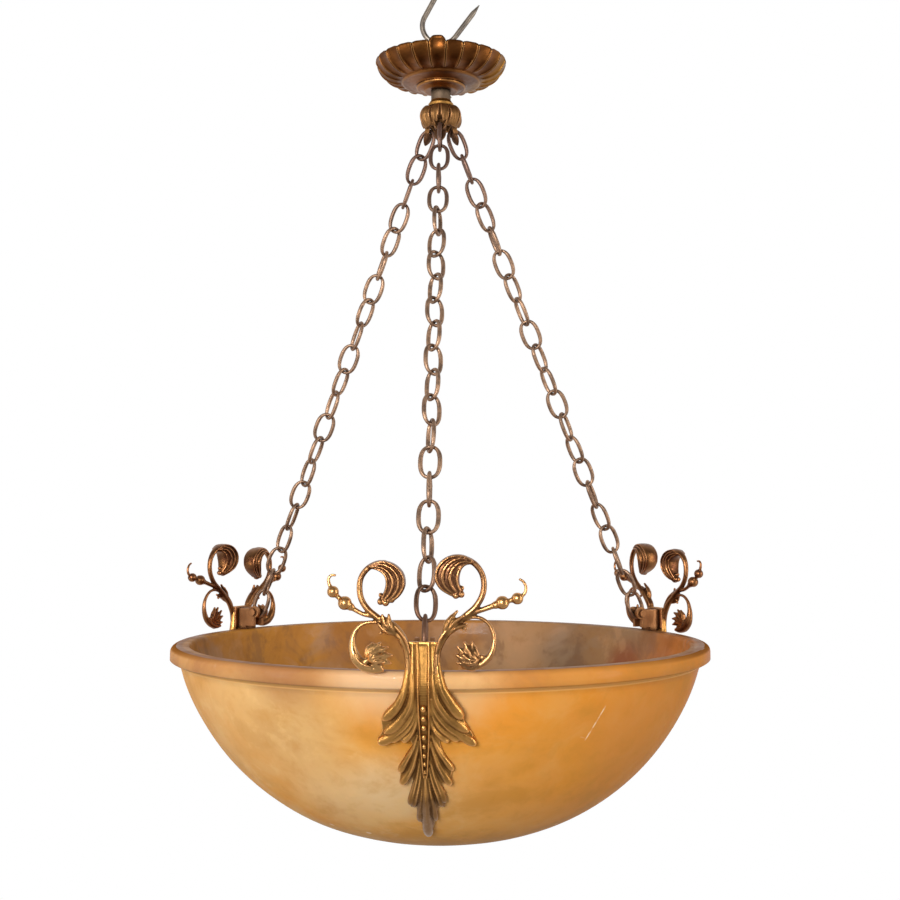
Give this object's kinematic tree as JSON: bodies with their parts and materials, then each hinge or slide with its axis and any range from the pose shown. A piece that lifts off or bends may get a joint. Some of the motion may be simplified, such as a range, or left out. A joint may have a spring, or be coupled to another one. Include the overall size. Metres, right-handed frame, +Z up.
{
  "type": "hanging bowl light",
  "caption": "stone bowl hung on leaf and scroll brackets from chains, below a fluted ceiling rose on an S-hook",
  "frame": {"origin": "where the inner side of the S-hook's top bend bears on what it hangs from", "axes": "+Z up; -Y towards the viewer of the picture, through the near chain; +X to the viewer's right, in the plane of the S-hook"},
  "size_m": [0.4619, 0.4584, 0.7695],
  "materials": {
    "hook_steel": "dull drawn wire",
    "loop_brass": "aged satin",
    "nut_brass": "aged satin",
    "stem_brass": "aged satin",
    "rose_copper": "copper bronze, brushed",
    "collar_bronze": "grey brown satin",
    "screw_steel": "satin",
    "bead_brass": "golden satin",
    "hub_bronze": "dark cast bronze",
    "chain_bronze": "aged satin wire",
    "alabaster": "polished, clouded honey stone",
    "leaf_bronze": "cast, gilded and aged",
    "scroll_bronze": "cast, aged",
    "washer_rubber": "matt",
    "spider_steel": "zinc plated",
    "holder_plastic": "matt",
    "bulb_glass": "frosted"
  },
  "bodies": {
    "hook": {"s_hook": "hook_steel"},
    "lamp": {"suspension_loop": "loop_brass", "loop_nut": "nut_brass", "stem_tube": "stem_brass", "canopy_collar": "collar_bronze", "collar_screw": "screw_steel", "hub_bead": "bead_brass", "chain_hub": "hub_bronze", "hub_nut": "nut_brass"},
    "rose": {"canopy": "rose_copper"},
    "bowl_group": {"bowl": "alabaster", "leaf_a": "leaf_bronze", "leaf_b": "leaf_bronze", "leaf_c": "leaf_bronze", "scrolls_a": "scroll_bronze", "scrolls_b": "scroll_bronze", "scrolls_c": "scroll_bronze", "rim_saddles": "leaf_bronze", "chain_pins": "nut_brass", "stem_rivets": "nut_brass", "leaf_screws": "screw_steel", "screw_washers": "washer_rubber", "lamp_spider": "spider_steel", "lampholders": "holder_plastic"},
    "chain_front": {"chain_a": "chain_bronze"},
    "chain_right": {"chain_b": "chain_bronze"},
    "chain_left": {"chain_c": "chain_bronze"},
    "bulb_front": {"bulb_a": "bulb_glass"},
    "bulb_back": {"bulb_b": "bulb_glass"},
    "bulb_left": {"bulb_c": "bulb_glass"}
  },
  "joints": [
    {"name": "lamp_swing", "type": "hinge", "parent": "hook", "child": "lamp", "pos_m": [0, 0, -0.0885], "axis": [1, 0, 0], "range_deg": [-15, 15]},
    {"name": "rose_lift", "type": "slide", "parent": "lamp", "child": "rose", "axis": [0, 0, 1], "range_m": [0, 0.012]},
    {"name": "bowl_twist", "type": "hinge", "parent": "lamp", "child": "bowl_group", "pos_m": [0, 0, -0.605], "axis": [0, 0, 1], "range_deg": [-20, 20]},
    {"name": "chain_front_turn", "type": "hinge", "parent": "lamp", "child": "chain_front", "pos_m": [0, -0.0118, -0.1656], "axis": [0, 0, 1], "range_deg": [-21.5, 21.5]},
    {"name": "chain_right_turn", "type": "hinge", "parent": "lamp", "child": "chain_right", "pos_m": [0.01022, 0.0059, -0.1656], "axis": [0, 0, 1], "range_deg": [-21.5, 21.5]},
    {"name": "chain_left_turn", "type": "hinge", "parent": "lamp", "child": "chain_left", "pos_m": [-0.01022, 0.0059, -0.1656], "axis": [0, 0, 1], "range_deg": [-21.5, 21.5]},
    {"name": "bulb_front_turn", "type": "hinge", "parent": "bowl_group", "child": "bulb_front", "pos_m": [0.03464, -0.02, -0.706], "axis": [0.866, -0.5, 0], "continuous": true},
    {"name": "bulb_back_turn", "type": "hinge", "parent": "bowl_group", "child": "bulb_back", "pos_m": [0, 0.04, -0.706], "axis": [0, 1, 0], "continuous": true},
    {"name": "bulb_left_turn", "type": "hinge", "parent": "bowl_group", "child": "bulb_left", "pos_m": [-0.03464, -0.02, -0.706], "axis": [-0.866, -0.5, 0], "continuous": true}
  ],
  "couplings": [
    {"joint": "chain_front_turn", "follows": "bowl_twist", "ratio": 1.061},
    {"joint": "chain_right_turn", "follows": "bowl_twist", "ratio": 1.061},
    {"joint": "chain_left_turn", "follows": "bowl_twist", "ratio": 1.061}
  ]
}
